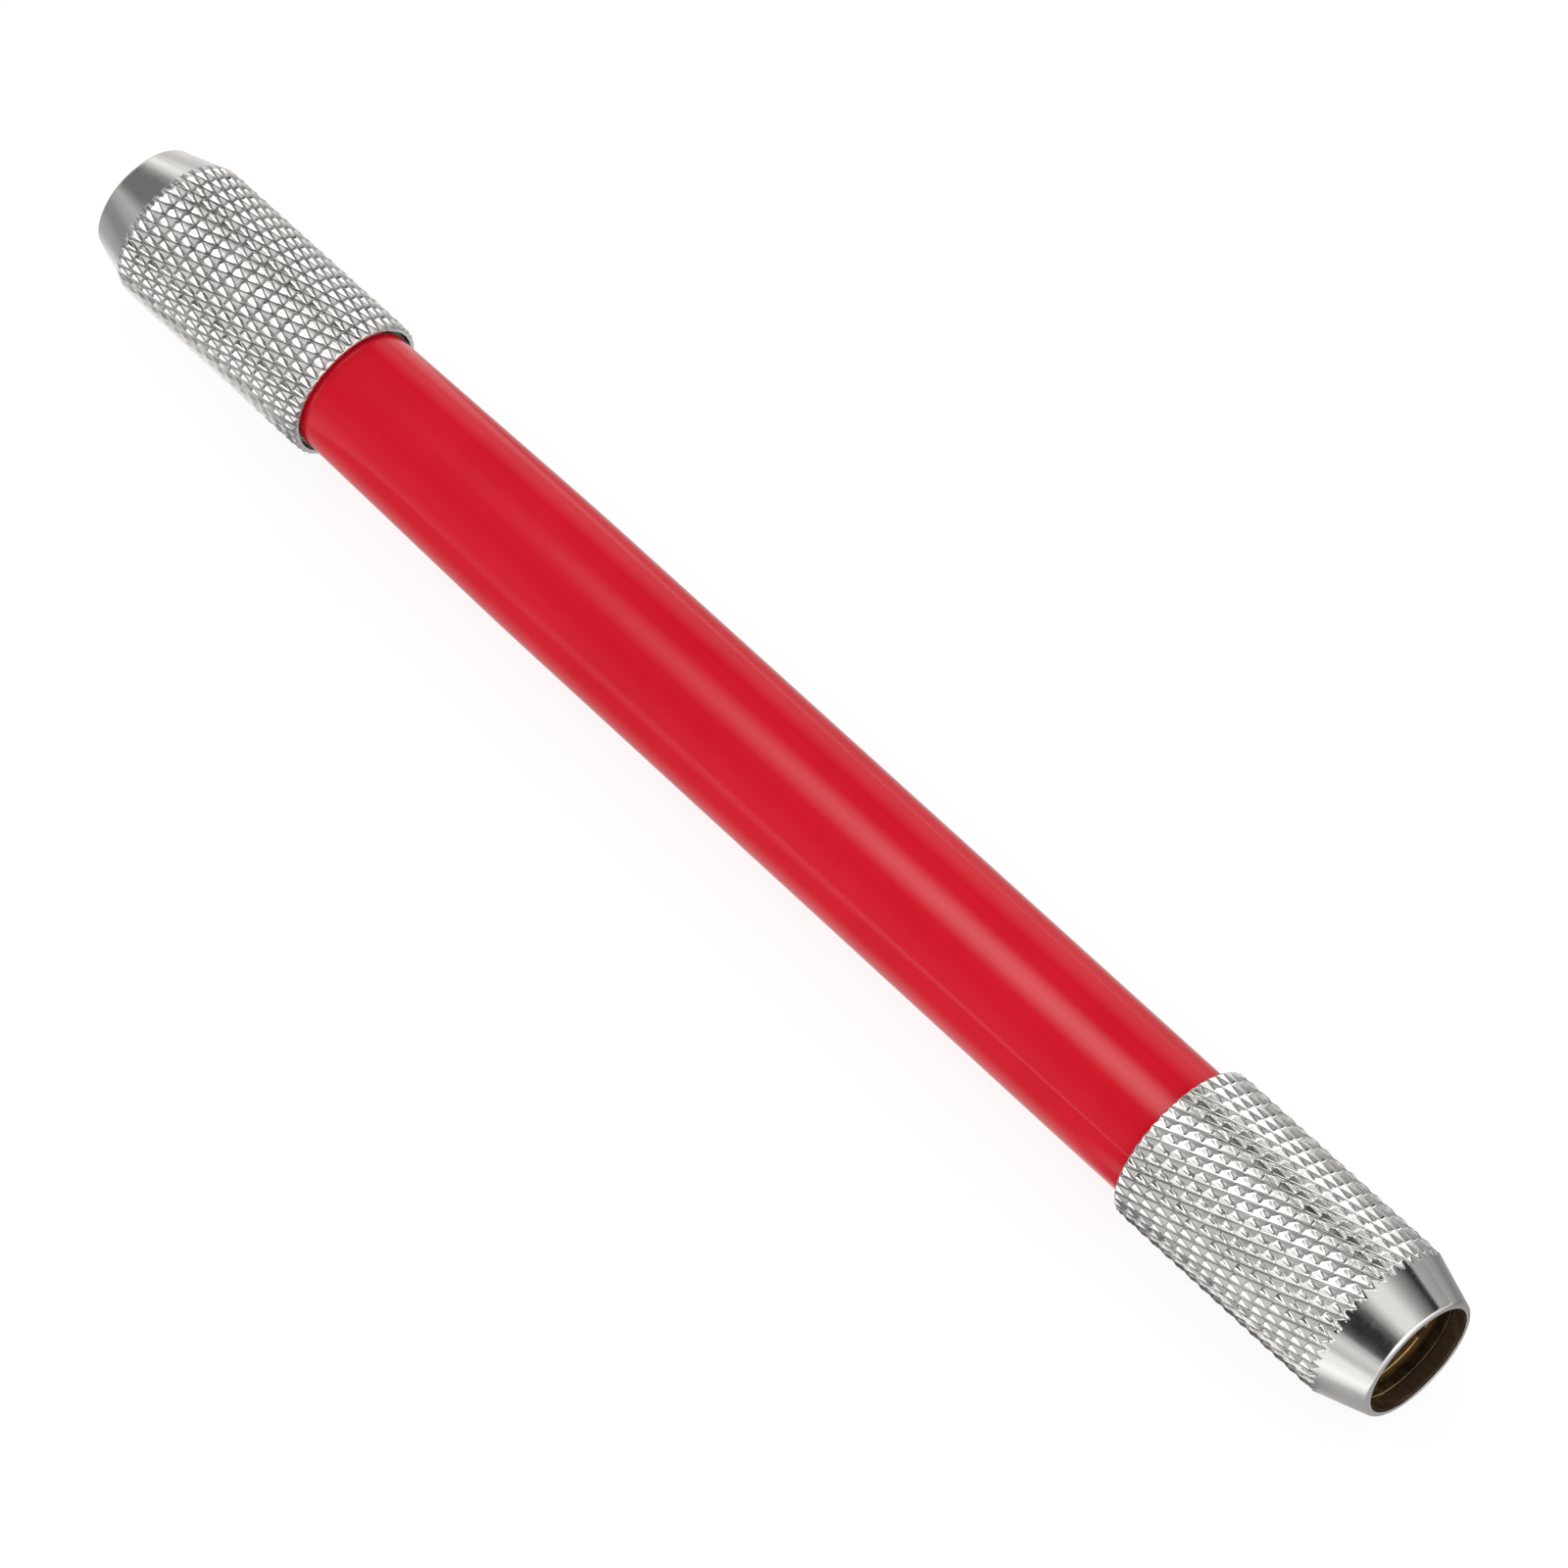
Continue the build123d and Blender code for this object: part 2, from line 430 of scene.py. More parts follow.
# %% [markdown]
# Behind each lip lies a loose brass ring that the collar pushes over the jaw tips. Its front edge is broken with
# a small chamfer, and that edge catches the light as a thin golden arc when we look into the mouth. The part has
# the ring's outline already, so only the chamfer is new, and the same turning helper makes it.

# %% Wedge rings
RING_COLUMNS = 192
RING_BORE_CLEARANCE = 0.05 * MM
RING_EDGE = 0.05 * MM
RING_CHAMFER = 0.03 * MM
RING_SMOOTH_UNDER = radians(20)
WEDGE_ANGLE = radians(20)


def wedge_ring(head):
    """Ring with a cone towards the jaws and a chamfer towards the mouth."""
    sign = HEADS[head]
    low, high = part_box(f"{head}_wedge_ring")
    outside = high.z
    bore = pencil_radius[head] + RING_BORE_CLEARANCE
    cone = outside - RING_EDGE
    back, front = sorted((sign * low.x, sign * high.x))
    cone_x = back + (cone - bore) / tan(WEDGE_ANGLE)
    rows = [(back, cone), (back, outside), (front, outside), (front, bore + RING_CHAMFER)]
    rows += [(front - RING_CHAMFER, bore), (cone_x, bore)]
    rows = [(sign * x, radius) for x, radius in rows]
    ring = turned_skin(f"{head}_brass_ring", rows, even_turn(RING_COLUMNS), smooth_under=RING_SMOOTH_UNDER)
    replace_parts(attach(ring, f"{head}_wedge_ring"), f"{head}_wedge_ring")
    return ring


rings = {head: wedge_ring(head) for head in HEADS}

# %% [markdown]
# Materials are trees of nodes. These short helpers add a node with its settings and links in one line, so the
# materials below read like recipes. Nodes could be placed and linked by hand in the editor, but a recipe can be
# read from top to bottom and changed in one place.

# %% Node helpers
# Places of the colour sockets on a Mix node
MIX_SHARE, MIX_FIRST, MIX_SECOND, MIX_RESULT = 0, 6, 7, 2


def plug(tree, socket, value):
    """Sets a socket to a value, or links another socket to it."""
    if isinstance(value, bpy.types.NodeSocket):
        tree.links.new(value, socket)
    else:
        socket.default_value = value


def add(tree, kind, options=None, **inputs):
    """New shader node; inputs are socket names, with _ for a space, and values or sockets to link."""
    node = tree.nodes.new("ShaderNode" + kind)
    for name, value in (options or {}).items():
        setattr(node, name, value)
    for name, value in inputs.items():
        plug(tree, node.inputs[name.replace("_", " ")], value)
    return node


def calc(tree, operation, *values):
    """Math node on one to three values or sockets, clamped to 0 to 1 where that is asked with CLAMP_."""
    clamp = operation.startswith("CLAMP_")
    node = add(tree, "Math", {"operation": operation.removeprefix("CLAMP_"), "use_clamp": clamp})
    for socket, value in zip(node.inputs, values):
        plug(tree, socket, value)
    return node.outputs[0]


def ramp(tree, value, start, end, low=0.0, high=1.0):
    """Smooth step from low to high while the value goes from start to end."""
    options = {"interpolation_type": "SMOOTHSTEP"}
    node = add(tree, "MapRange", options, Value=value, From_Min=start, From_Max=end, To_Min=low, To_Max=high)
    return node.outputs[0]


def mixed(tree, share, first, second):
    """Colour between two colours."""
    node = add(tree, "Mix", {"data_type": "RGBA"})
    for place, value in ((MIX_SHARE, share), (MIX_FIRST, first), (MIX_SECOND, second)):
        plug(tree, node.inputs[place], value)
    return node.outputs[MIX_RESULT]


def stretched(tree, scale):
    """Object coordinates in millimetres, multiplied by a scale along X, Y and Z."""
    node = add(tree, "VectorMath", {"operation": "MULTIPLY"})
    plug(tree, node.inputs[0], add(tree, "TexCoord").outputs["Object"])
    plug(tree, node.inputs[1], scale if isinstance(scale, bpy.types.NodeSocket) else [s / MM for s in scale])
    return node.outputs[0]


def stored(tree, name):
    """Value that a piece's mesh stores on its points."""
    return add(tree, "Attribute", {"attribute_name": name}).outputs["Fac"]


# %% [markdown]
# Effects that several finishes share become node groups with named sockets, built once and then placed in each
# material with values of its own. The shader itself stays in the material.

# %% Groups and materials


def new_group(name, inputs, outputs):
    """Empty shader group with float sockets; inputs are {name: value}."""
    group = bpy.data.node_groups.new(name, "ShaderNodeTree")
    for socket_name, value in inputs.items():
        socket = group.interface.new_socket(socket_name, in_out="INPUT", socket_type="NodeSocketFloat")
        socket.default_value = value
    for socket_name in outputs:
        group.interface.new_socket(socket_name, in_out="OUTPUT", socket_type="NodeSocketFloat")
    entry = group.nodes.new("NodeGroupInput")
    result = group.nodes.new("NodeGroupOutput")
    return group, entry.outputs, result.inputs


def place(tree, group, **values):
    """Puts a group into a material with its own values."""
    node = tree.nodes.new("ShaderNodeGroup")
    node.node_tree = group
    for name, value in values.items():
        plug(tree, node.inputs[name.replace("_", " ")], value)
    return node.outputs


def new_material(name):
    """Material with its tree and its Principled shader."""
    material = bpy.data.materials.new(name)
    material.use_nodes = True
    tree = material.node_tree
    return material, tree, tree.nodes["Principled BSDF"]


# %% [markdown]
# Three effects serve more than one finish. Hairlines are the fine marks of handling: thin level lines of a
# stretched noise, broken up by a second noise. Specks are bits of dust: small dots in some cells of a Voronoi
# pattern. Mottle is slow unevenness of tone. Each one could be painted by hand as an image, but nodes stay sharp
# at any distance and need no unwrapping.

# %% Shared effects
MID_NOISE = 0.5
PATCH_SCALE = 0.37
PATCH_EDGES = (0.62, 0.48)
CLOUD_EDGES = (0.3, 0.7)
EVEN = (1, 1, 1)

hairlines, entry, result = new_group(
    "Hairlines", {"Along": 1.0, "Across": 8.0, "Width": 0.02, "Share": 0.4}, ["Mask"]
)
scale = add(hairlines, "CombineXYZ", X=entry["Along"], Y=entry["Across"], Z=entry["Across"]).outputs[0]
per_mm = add(hairlines, "VectorMath", {"operation": "SCALE"}, Scale=1 / MM)
plug(hairlines, per_mm.inputs[0], scale)
spots = stretched(hairlines, per_mm.outputs[0])
lines = add(hairlines, "TexNoise", Vector=spots, Scale=1.0, Detail=2.0).outputs[0]
patches = add(hairlines, "TexNoise", Vector=spots, Scale=PATCH_SCALE, Detail=1.0).outputs[0]
off_line = calc(hairlines, "ABSOLUTE", calc(hairlines, "SUBTRACT", lines, MID_NOISE))
thin = calc(hairlines, "CLAMP_SUBTRACT", 1.0, calc(hairlines, "DIVIDE", off_line, entry["Width"]))
broken = calc(hairlines, "MULTIPLY", thin, ramp(hairlines, patches, *PATCH_EDGES))
plug(hairlines, result["Mask"], calc(hairlines, "MULTIPLY", broken, entry["Share"]))

specks, entry, result = new_group("Specks", {"Per mm": 1.0, "Size": 0.1, "Share": 0.1}, ["Mask"])
cells = add(specks, "TexVoronoi", Vector=stretched(specks, EVEN), Scale=entry["Per mm"])
chosen = add(specks, "SeparateColor", Color=cells.outputs["Color"]).outputs[0]
near = calc(specks, "LESS_THAN", cells.outputs["Distance"], entry["Size"])
kept = calc(specks, "LESS_THAN", chosen, entry["Share"])
plug(specks, result["Mask"], calc(specks, "MULTIPLY", near, kept))

mottle, entry, result = new_group("Mottle", {"Per mm": 0.2}, ["Value"])
clouds = add(mottle, "TexNoise", Vector=stretched(mottle, EVEN), Scale=entry["Per mm"], Detail=3.0)
plug(mottle, result["Value"], ramp(mottle, clouds.outputs[0], *CLOUD_EDGES))
print("node groups:", [group.name for group in bpy.data.node_groups])

# %% [markdown]
# The tube's lacquer is an even, opaque red with a hard gloss, so it is a plain coloured shader with low
# roughness: its clear reflections come from the lights. What makes it look like sprayed metal and not plastic is
# small: a faint waviness in the gloss, a few specks of dust, hairlines from handling, and a tone that drifts a
# little along the barrel.

# %% Red lacquer
LACQUER_RED = (0.665, 0.0095, 0.024, 1)
LACQUER_DEEP = (0.63, 0.008, 0.021, 1)
SPECK_PINK = (0.72, 0.10, 0.12, 1)
BARE_METAL = (0.42, 0.40, 0.38, 1)
GLOSS_ROUGHNESS = 0.035
HAIRLINE_ROUGHNESS = 0.09
BARE_ROUGHNESS = 0.3
WAVES_PER_MM = 1.6
WAVE_STRENGTH = 0.05
SPECK_HEIGHT = 0.6
BUMP_DEPTH = 0.02 * MM


def red_lacquer():
    """Sprayed red outside, bare metal inside."""
    material, tree, shader = new_material("red_lacquer")
    drift = place(tree, mottle, Per_mm=0.12)["Value"]
    dust = place(tree, specks, Per_mm=0.6, Size=0.07, Share=0.1)["Mask"]
    marks = place(tree, hairlines, Along=0.35, Across=3.0, Width=0.02, Share=1.0)["Mask"]
    red = mixed(tree, dust, mixed(tree, drift, LACQUER_DEEP, LACQUER_RED), SPECK_PINK)
    bare = stored(tree, "bare")
    plug(tree, shader.inputs["Base Color"], mixed(tree, bare, red, BARE_METAL))
    plug(tree, shader.inputs["Metallic"], bare)
    gloss = ramp(tree, marks, 0.0, 1.0, GLOSS_ROUGHNESS, HAIRLINE_ROUGHNESS)
    plug(tree, shader.inputs["Roughness"], calc(tree, "MULTIPLY_ADD", bare, BARE_ROUGHNESS, gloss))
    waves = add(tree, "TexNoise", Vector=stretched(tree, EVEN), Scale=WAVES_PER_MM, Detail=1.0).outputs[0]
    height = calc(tree, "MULTIPLY_ADD", dust, SPECK_HEIGHT, waves)
    bump = add(tree, "Bump", Height=height, Strength=WAVE_STRENGTH, Distance=BUMP_DEPTH)
    plug(tree, shader.inputs["Normal"], bump.outputs[0])
    return material


lacquer = red_lacquer()
print(lacquer.name, "nodes:", len(lacquer.node_tree.nodes))

# %% [markdown]
# The collars are nickel-plated: a slightly warm mirror. Polished metal is almost nothing but what it reflects, so
# the finish lies in how rough it is and where: the nose keeps fine turning lines and a few scratches, the grip is
# a little duller, and its grooves turn grey towards their bottoms. Inside the mouth the colour is a dark brown,
# partly the brass under thin plating and partly painted shade. The values stored on the mesh say where each of
# these goes.

# %% Nickel plate
NICKEL = (0.76, 0.74, 0.715, 1)
# Grey towards the bottom of the knurl's grooves
GROOVE_GREY = (0.13, 0.125, 0.12, 1)
# Dark brown inside the mouth and bore: partly bare brass, partly painted shade
INSIDE_BRASS_AND_SHADE = (0.20, 0.14, 0.09, 1)
DARKENING_FROM_DEPTH = 0.65
DARKENING_SHARE = 0.65
INSIDE_METALLIC = 0.8
NOSE_ROUGHNESS = (0.08, 0.13)
GRIP_ADDS = (0.03, 0.09)
DUST_ADDS = 0.5
SCRATCH_ADDS = 0.2
TURNING_PER_MM = (9, 0.15, 0.15)
TURNING_STRENGTH = 0.06
SCRATCH_HEIGHT = -0.6


def nickel_plate():
    """Bright plating with turning lines, scratches, grooves greyer towards their bottoms, and a dark inside that
    is partly painted shade.
    """
    material, tree, shader = new_material("nickel_plate")
    groove, gripped, inside = (stored(tree, name) for name in ("groove", "gripped", "inside"))
    patch = place(tree, mottle, Per_mm=0.9)["Value"]
    scratches = place(tree, hairlines, Along=12.0, Across=0.3, Width=0.03, Share=0.5)["Mask"]
    dust = place(tree, specks, Per_mm=2.2, Size=0.1, Share=0.16)["Mask"]
    # Grey that grows towards the bottom of the grooves on the grip, by the depth of the cut
    groove_darkening = calc(tree, "MULTIPLY", ramp(tree, groove, DARKENING_FROM_DEPTH, 1.0), gripped)
    plated = mixed(tree, calc(tree, "MULTIPLY", groove_darkening, DARKENING_SHARE), NICKEL, GROOVE_GREY)
    # Inside the mouth and bore: dark brown, partly bare brass and partly painted shade
    plug(tree, shader.inputs["Base Color"], mixed(tree, inside, plated, INSIDE_BRASS_AND_SHADE))
    plug(tree, shader.inputs["Metallic"], ramp(tree, inside, 0.0, 1.0, 1.0, INSIDE_METALLIC))
    handled = calc(tree, "MULTIPLY_ADD", dust, DUST_ADDS, calc(tree, "MULTIPLY", scratches, SCRATCH_ADDS))
    nose_rough = calc(tree, "ADD", handled, ramp(tree, patch, 0.0, 1.0, *NOSE_ROUGHNESS))
    grip_rough = calc(tree, "MULTIPLY", gripped, ramp(tree, patch, 0.0, 1.0, *GRIP_ADDS))
    plug(tree, shader.inputs["Roughness"], calc(tree, "ADD", nose_rough, grip_rough))
    turning = add(tree, "TexNoise", Vector=stretched(tree, TURNING_PER_MM), Scale=1.0, Detail=2.0).outputs[0]
    height = calc(tree, "MULTIPLY_ADD", scratches, SCRATCH_HEIGHT, turning)
    bump = add(tree, "Bump", Height=height, Strength=TURNING_STRENGTH, Distance=BUMP_DEPTH)
    plug(tree, shader.inputs["Normal"], bump.outputs[0])
    return material


plate = nickel_plate()
print(plate.name, "nodes:", len(plate.node_tree.nodes))

# %% [markdown]
# The inner pieces are brass that nobody polishes: a dark brown, partly their aged tone and partly painted shade
# deep in the mouth. Golden is partly wear, where pencils polish the jaw tips, and partly painted highlight: the
# ring's edge and its turning lines are golden at one side only. Edges could be masked by hand, but the Bevel node
# finds them on any mesh: it gives the normal that a rounded edge would have, and where that differs from the real
# one there is an edge. The same normal also makes the edges look rounded.

# %% Brass
# Dark browns of the brass: partly its aged tone, partly painted shade deep inside the mouth
AGED_AND_SHADED_BRASS = (0.06, 0.04, 0.025, 1)
BROWN_BRASS = (0.13, 0.085, 0.045, 1)
# Bright golden brass, laid where the brass is worn and as a painted highlight
WORN_AND_GLINT_BRASS = (0.95, 0.62, 0.27, 1)
BRASS_METALLIC = 0.75
BRASS_ROUGHNESS = (0.24, 0.38)
EDGE_RADIUS = 0.13 * MM
EDGE_SAMPLES = 6
EDGE_MATCH = (0.985, 0.93)
JAW_TIPS_MM = (59.7, 59.3)
# Side towards -Y where edges and lines turn golden: a painted highlight on one side only
GLINT_SIDE_MM = (0.5, -2.0)
# Gold on the jaw tips and on the turning lines: partly wear, partly painted highlight
JAW_WEAR_AND_GLINT = 0.35
LINE_WEAR_AND_GLINT = 0.8


def brass():
    """Dark brown brass, partly painted shade, with golden edges and lines where it is worn and, on one side, as
    painted highlight.
    """
    material, tree, shader = new_material("brass")
    age = place(tree, mottle, Per_mm=1.3)["Value"]
    marks = place(tree, hairlines, Along=12.0, Across=0.5, Width=0.03, Share=1.0)["Mask"]
    soft = add(tree, "Bevel", {"samples": EDGE_SAMPLES}, Radius=EDGE_RADIUS).outputs[0]
    match = add(tree, "VectorMath", {"operation": "DOT_PRODUCT"})
    plug(tree, match.inputs[0], soft)
    plug(tree, match.inputs[1], add(tree, "NewGeometry").outputs["Normal"])
    edge = ramp(tree, match.outputs["Value"], *EDGE_MATCH)
    spot = add(tree, "SeparateXYZ", Vector=stretched(tree, EVEN)).outputs
    jaws = ramp(tree, calc(tree, "ABSOLUTE", spot["X"]), *JAW_TIPS_MM)
    # Gold on the jaw tips from wear, and on the -Y side as a painted highlight
    worn_tips_and_glint_side = calc(tree, "MAXIMUM", jaws, ramp(tree, spot["Y"], *GLINT_SIDE_MM))
    wear_and_glint_lines = calc(tree, "MULTIPLY_ADD", jaws, JAW_WEAR_AND_GLINT, calc(tree, "MULTIPLY", marks, LINE_WEAR_AND_GLINT))
    wear_and_glint_gold = calc(tree, "MULTIPLY", worn_tips_and_glint_side, calc(tree, "CLAMP_ADD", edge, wear_and_glint_lines))
    # Dark brown base, partly aged brass and partly painted shade
    shade = mixed(tree, age, AGED_AND_SHADED_BRASS, BROWN_BRASS)
    plug(tree, shader.inputs["Base Color"], mixed(tree, wear_and_glint_gold, shade, WORN_AND_GLINT_BRASS))
    plug(tree, shader.inputs["Metallic"], BRASS_METALLIC)
    plug(tree, shader.inputs["Roughness"], ramp(tree, age, 0.0, 1.0, *BRASS_ROUGHNESS))
    plug(tree, shader.inputs["Normal"], soft)
    return material


inner_brass = brass()
print(inner_brass.name, "nodes:", len(inner_brass.node_tree.nodes))

# %% [markdown]
# Each piece now gets its finish. The jaw sleeves and the jaws are plain turned and slit shapes that the part has
# just right, so they aren't made again: the part's own objects stay visible and only take the brass.

# %% Finishes on the pieces
tube.data.materials.append(lacquer)
for head in HEADS:
    collars[head].data.materials.append(plate)
    rings[head].data.materials.append(inner_brass)
for node in frame["nodes"].values():
    if not node.hide_render:
        node.data.materials.clear()
        node.data.materials.append(inner_brass)
print("brass nodes:", [name for name, node in frame["nodes"].items() if not node.hide_render])

# %% [markdown]
# The setting is a white tabletop in soft studio light. Light from everywhere keeps the red even from side to side.
# The polished metal needs more care, because it shows the studio itself: the dark camera, white panels with a
# dark gap between them, lamps above and grey walls. So the world gives plain white to matt surfaces, and a studio
# painted in tones to mirror reflections: along each of a few strips, from the front over the top to the back, a
# colour ramp gives the tone, and the reflection's reach along the barrel picks the strip.

# %% Studio tones
# Tones by the angle of a reflection in degrees, from the front horizon over the top to the back one
STUDIO_TONES = {
    "mouth": {0: 0.9, 40: 1.2, 55: 2.0, 75: 2.0, 100: 1.3, 150: 1.2, 180: 0.8},
    "large head": {
        0: 0.6, 15: 0.85, 24: 0.55, 30: 0.1, 42: 0.03, 56: 0.03, 66: 0.15, 75: 0.5,
        86: 0.95, 104: 0.95, 124: 0.4, 146: 0.03, 152: 0.03, 156: 0.5, 180: 0.35,
    },
    "panel": {
        0: 2.0, 10: 3.5, 38: 3.5, 50: 1.0, 57: 0.05, 74: 0.05,
        82: 0.7, 92: 2.0, 118: 2.0, 130: 0.6, 142: 0.4, 180: 0.5,
    },
    "far panel": {
        0: 1.0, 10: 1.5, 20: 2.5, 38: 2.5, 48: 1.1, 54: 0.1,
        66: 0.1, 74: 1.0, 88: 2.4, 136: 2.4, 150: 1.0, 180: 1.0,
    },
    "barrel": {
        0: 0.22, 18: 0.2, 30: 0.12, 45: 0.05, 60: 0.1,
        120: 0.1, 140: 0.03, 152: 0.3, 162: 0.5, 180: 0.45,
    },
    "side": {0: 0.7, 40: 0.65, 60: 0.6, 120: 0.5, 140: 0.35, 180: 0.4},
    "far side": {0: 1.2, 12: 1.3, 35: 1.3, 48: 1.15, 60: 1.05, 80: 0.95, 140: 0.95, 180: 0.9},
    "small head": {
        0: 0.4, 30: 0.55, 50: 0.3, 60: 0.2, 118: 0.2,
        133: 0.35, 148: 0.8, 162: 1.2, 175: 0.75, 180: 0.75,
    },
}
# Each strip after the first, and where along X it fades in
STRIP_EDGES = [
    ("large head", 0.6, 0.42),
    ("panel", 0.06, -0.04),
    ("far panel", -0.09, -0.13),
    ("barrel", -0.26, -0.32),
    ("side", -0.48, -0.56),
    ("far side", -0.66, -0.72),
    ("small head", -0.76, -0.82),
]
print("studio strips:", list(STUDIO_TONES))

# %% [markdown]
# The tables become nodes: one colour ramp per strip, and each next strip is mixed over the ones before it. The
# Light Path node tells mirror reflections from the rest. An image of a studio could stand here instead, but a few
# tones are easier to set until each band on the metal lies where it should.

# %% Studio for reflections
FULL_SWEEP = 180
WHITE = (1, 1, 1, 1)
ROOM_LIGHT = 1.0


def tone_ramp(tree, share, tones, start, end):
    """Grey tones along a share from 0 to 1, from a table of {place between start and end: tone}."""
    node = add(tree, "ValToRGB", Fac=share)
    stops = node.color_ramp.elements
    while len(stops) < len(tones):
        stops.new(0.5)
    for stop, (spot, tone) in zip(stops, tones.items()):
        stop.position = (spot - start) / (end - start)
        stop.color = (tone, tone, tone, 1)
    return node.outputs["Color"]


def seen_or_mirrored(tree, seen, mirrored):
    """Shader that differs in mirror reflections from what it is elsewhere."""
    choice = add(tree, "MixShader", Fac=add(tree, "LightPath").outputs["Is Glossy Ray"])
    plug(tree, choice.inputs[1], seen.outputs[0])
    plug(tree, choice.inputs[2], mirrored.outputs[0])
    return choice.outputs[0]


def studio():
    """World that is plain white, and a painted studio in mirror reflections."""
    world = bpy.data.worlds.new("studio")
    bpy.context.scene.world = world
    world.use_nodes = True
    tree = world.node_tree
    tree.nodes.clear()
    ray = add(tree, "SeparateXYZ", Vector=add(tree, "TexCoord").outputs["Generated"]).outputs
    angle = calc(tree, "ARCTAN2", ray["Z"], calc(tree, "MULTIPLY", ray["Y"], -1.0))
    share = calc(tree, "DIVIDE", angle, pi)
    tone = tone_ramp(tree, share, STUDIO_TONES["mouth"], 0, FULL_SWEEP)
    for strip, start, end in STRIP_EDGES:
        inward = ramp(tree, ray["X"], start, end)
        tone = mixed(tree, inward, tone, tone_ramp(tree, share, STUDIO_TONES[strip], 0, FULL_SWEEP))
    mirror = add(tree, "Background", Color=tone)
    plain = add(tree, "Background", Color=WHITE, Strength=ROOM_LIGHT)
    add(tree, "OutputWorld", Surface=seen_or_mirrored(tree, plain, mirror))
    return world


print("world nodes:", len(studio().node_tree.nodes))

# %% [markdown]
# One lamp hangs so close that its reflection changes along the barrel: the long highlight on the red tube is
# bright near the large head and fades towards the small one. A world is endlessly far away and can't do that, so
# this lamp is a real card above the barrel. It glows more at one end and turns see-through towards its long
# edges, which makes them soft, and only reflections see it.

# %% Lamp over the barrel
LAMP_HEIGHT = 300 * MM
LAMP_ENDS_MM = (-205, -60)
LAMP_HALF_WIDTH_MM = 158
# Tones along the lamp, by place in millimetres
LAMP_TONES = {-205: 0.1, -167: 0.4, -148: 0.95, -128: 1.45, -100: 2.2, -60: 2.3}


def sheet(name, near, far, level, material):
    """Flat rectangle between two corners, part of the setting."""
    outline = [(near[0], near[1]), (far[0], near[1]), (far[0], far[1]), (near[0], far[1])]
    mesh = bpy.data.meshes.new(name)
    mesh.from_pydata([(x, y, level) for x, y in outline], [], [(0, 1, 2, 3)])
    mesh.materials.append(material)
    piece = bpy.data.objects.new(name, mesh)
    bpy.context.scene.collection.objects.link(piece)
    return piece


def spot_mm(tree):
    """Place on a sheet, in millimetres."""
    return add(tree, "SeparateXYZ", Vector=stretched(tree, EVEN)).outputs


def lamp():
    """Glowing card with soft long edges, seen in reflections only."""
    material, tree, _ = new_material("lamp_glow")
    spot = spot_mm(tree)
    start, end = LAMP_ENDS_MM
    share = calc(tree, "DIVIDE", calc(tree, "SUBTRACT", spot["X"], start), end - start)
    tone = tone_ramp(tree, share, LAMP_TONES, start, end)
    soft = add(tree, "MixShader", Fac=ramp(tree, calc(tree, "ABSOLUTE", spot["Y"]), LAMP_HALF_WIDTH_MM, 0.0))
    plug(tree, soft.inputs[1], add(tree, "BsdfTransparent").outputs[0])
    plug(tree, soft.inputs[2], add(tree, "Emission", Color=tone).outputs[0])
    plug(tree, tree.nodes["Material Output"].inputs["Surface"], soft.outputs[0])
    side = LAMP_HALF_WIDTH_MM * MM
    card = sheet("lamp", (start * MM, -side), (end * MM, side), LAMP_HEIGHT, material)
    card.visible_camera = card.visible_diffuse = card.visible_shadow = False
    return card


print("lamp, mm:", [round(v / MM) for v in lamp().dimensions])

# %% [markdown]
# The tabletop is a large white sheet right under the barrel, lit a little from below as a light table is, so the
# shadow stays faint. What the metal and the lacquer mirror of it is another matter: like the studio, it is painted
# in tones for reflections. Zones follow each other along the barrel, each collar has its own, and in each zone a
# tone ramp runs across the barrel. A real studio would do this with grey and white cards around the object.

# %% Tabletop tones
# How far the tones reach to each side of the barrel, in millimetres
FLOOR_REACH = 120
# Tones by place across the barrel, in millimetres; in the zones right and large collar, the dip a few millimetres
# in front of the barrel is a painted shadow of the part itself
FLOOR_TONES = {
    "ahead": {-120: 0.8, 120: 0.7},
    "right": {
        -120: 1.0, -32: 1.1, -19: 1.3, -14: 1.0, -11: 0.55,
        -8: 0.45, 13: 0.35, 20: 0.25, 55: 0.4, 120: 0.4,
    },
    "large collar": {
        -120: 1.0, -19: 1.2, -15: 0.9, -12: 0.5, -10: 0.1, -7: 0.1, -5: 0.7,
        -3: 1.0, 0: 0.9, 13: 0.35, 20: 0.25, 55: 0.4, 120: 0.4,
    },
    "near half": {
        -120: 0.15, -12: 0.15, -7.5: 0.5, 0: 0.6, 10: 0.6,
        20: 0.3, 33: 0.3, 60: 0.4, 120: 0.45,
    },
    "far half": {
        -120: 0.75, -60: 0.55, -38: 0.42, -24: 0.15, -12: 0.15, -7.5: 0.4,
        0: 0.6, 10: 0.6, 20: 0.3, 33: 0.3, 60: 0.4, 120: 0.45,
    },
    "small collar": {-120: 0.4, -20: 0.5, -12: 0.9, -7: 1.2, 0: 1.2, 13: 0.9, 33: 0.7, 120: 0.7},
    "left": {-120: 0.35, -20: 0.3, -13: 0.4, 0: 0.6, 13: 0.85, 33: 0.7, 120: 0.7},
}
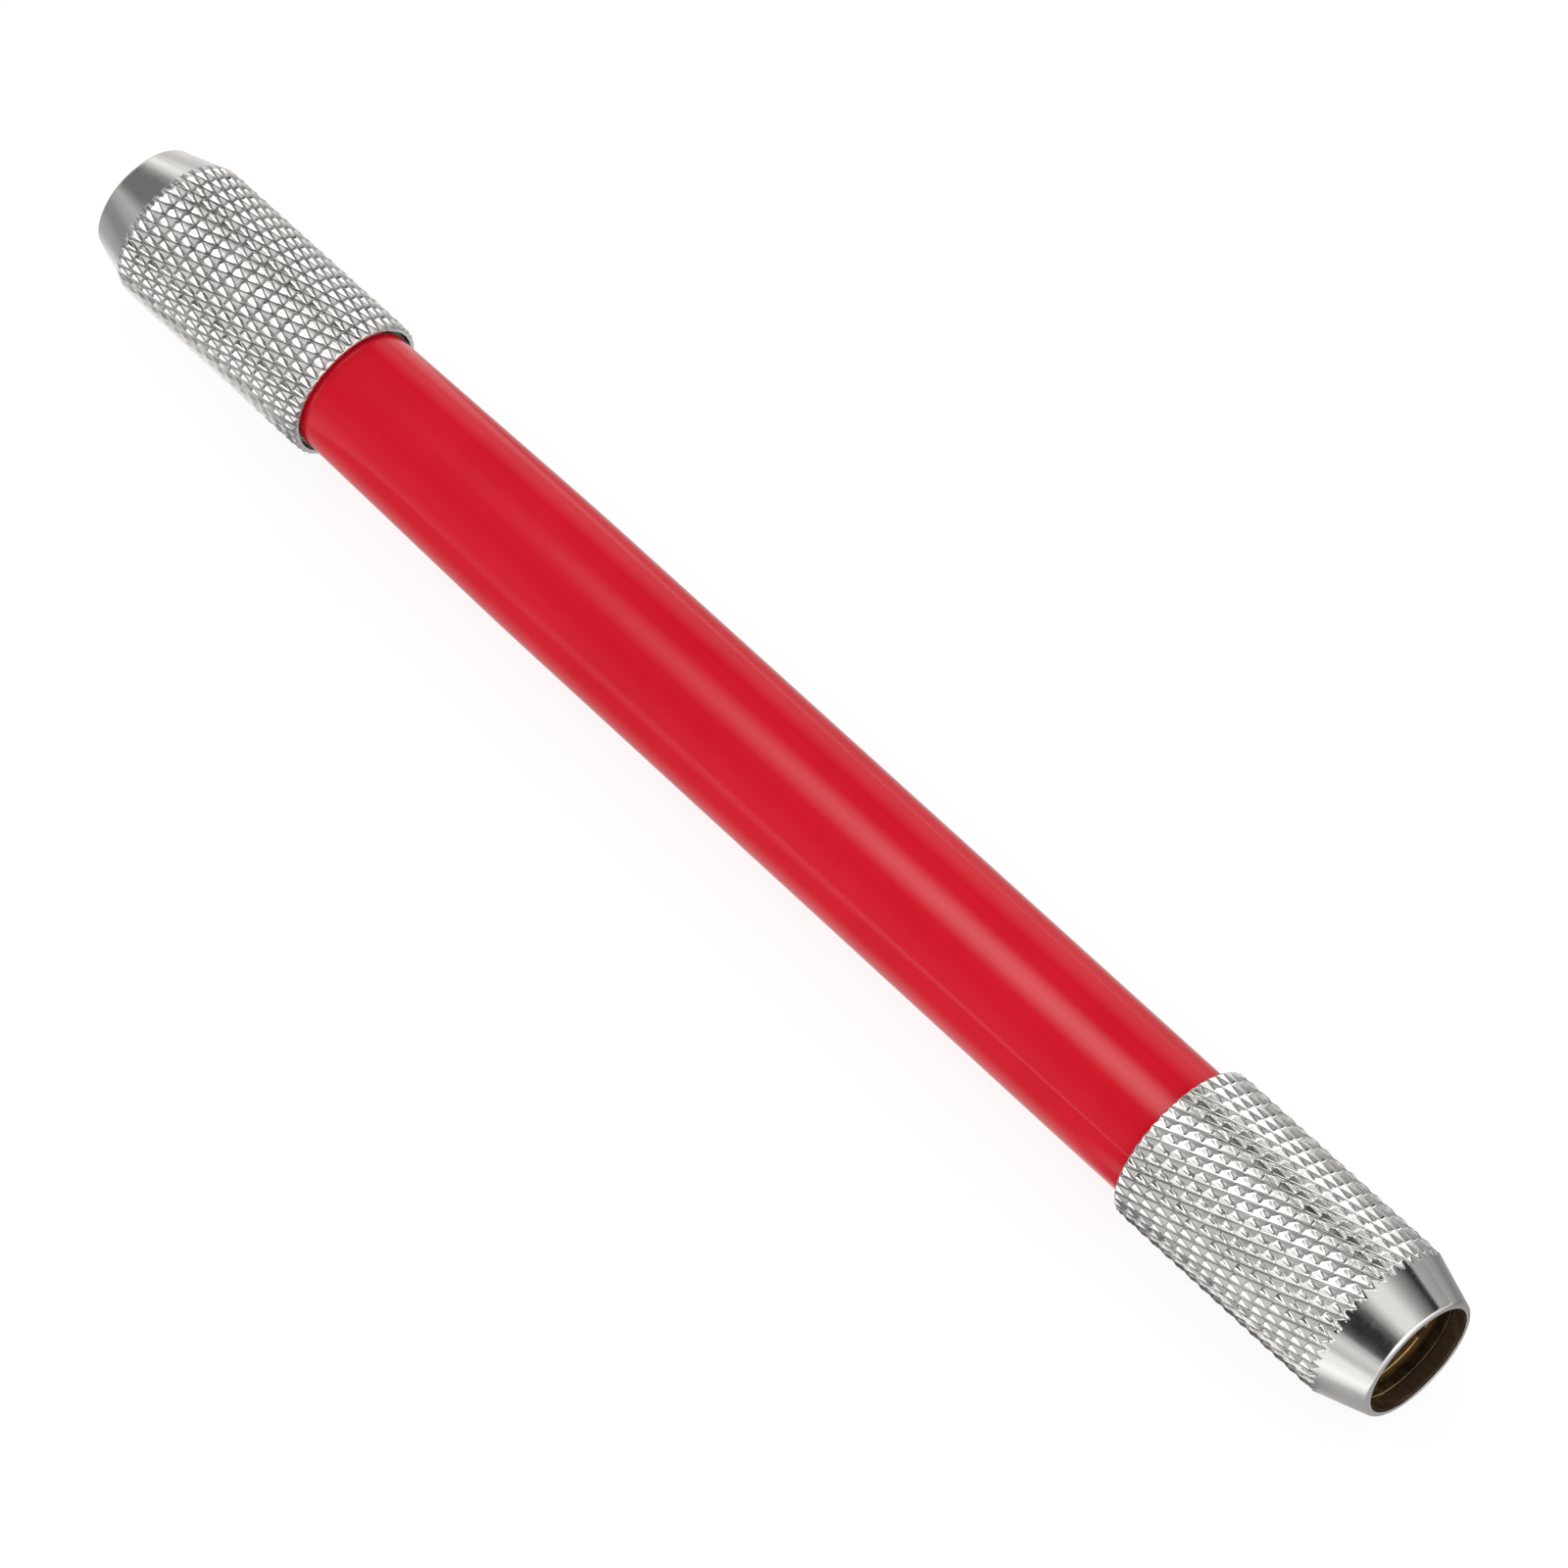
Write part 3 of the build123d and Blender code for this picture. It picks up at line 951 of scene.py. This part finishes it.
# Each zone after the first, and where along the barrel it fades in, in millimetres
FLOOR_EDGES = [
    ("right", 90, 74),
    ("large collar", 60, 54),
    ("near half", 38, 30),
    ("far half", 8, -6),
    ("small collar", -43, -48),
    ("left", -60, -68),
]
print("tabletop zones:", list(FLOOR_TONES))

# %% [markdown]
# The sheet itself is matt white paper with a soft glow mixed in. It is far larger than the picture, so that no
# edge of it shows. Blender's Standard view keeps the paper white, where its filmic views would grey it.

# %% Tabletop
FLOOR_SIZE = 6.0
FLOOR_WHITE = (0.95, 0.95, 0.945, 1)
FLOOR_ROUGHNESS = 0.9
FLOOR_GLOW = 1.06
FLOOR_GLOW_SHARE = 0.8


def tabletop():
    """White sheet under the barrel, painted in tones for mirror reflections."""
    material, tree, shader = new_material("white_sheet")
    shader.inputs["Base Color"].default_value = FLOOR_WHITE
    shader.inputs["Roughness"].default_value = FLOOR_ROUGHNESS
    shader.inputs["Specular IOR Level"].default_value = 0.0
    spot = spot_mm(tree)
    share = calc(tree, "DIVIDE", calc(tree, "ADD", spot["Y"], FLOOR_REACH), 2 * FLOOR_REACH)
    tone = tone_ramp(tree, share, FLOOR_TONES["ahead"], -FLOOR_REACH, FLOOR_REACH)
    for zone, start, end in FLOOR_EDGES:
        across = tone_ramp(tree, share, FLOOR_TONES[zone], -FLOOR_REACH, FLOOR_REACH)
        tone = mixed(tree, ramp(tree, spot["X"], start, end), tone, across)
    lit = add(tree, "MixShader", Fac=FLOOR_GLOW_SHARE)
    plug(tree, lit.inputs[1], shader.outputs[0])
    plug(tree, lit.inputs[2], add(tree, "Emission", Color=WHITE, Strength=FLOOR_GLOW).outputs[0])
    mirror = add(tree, "Emission", Color=tone)
    plug(tree, tree.nodes["Material Output"].inputs["Surface"], seen_or_mirrored(tree, lit, mirror))
    half = FLOOR_SIZE / 2
    return sheet("tabletop", (-half, -half), (half, half), cad_box[0].z, material)


print("tabletop, m:", [round(v, 2) for v in tabletop().dimensions])
bpy.context.scene.view_settings.view_transform = "Standard"
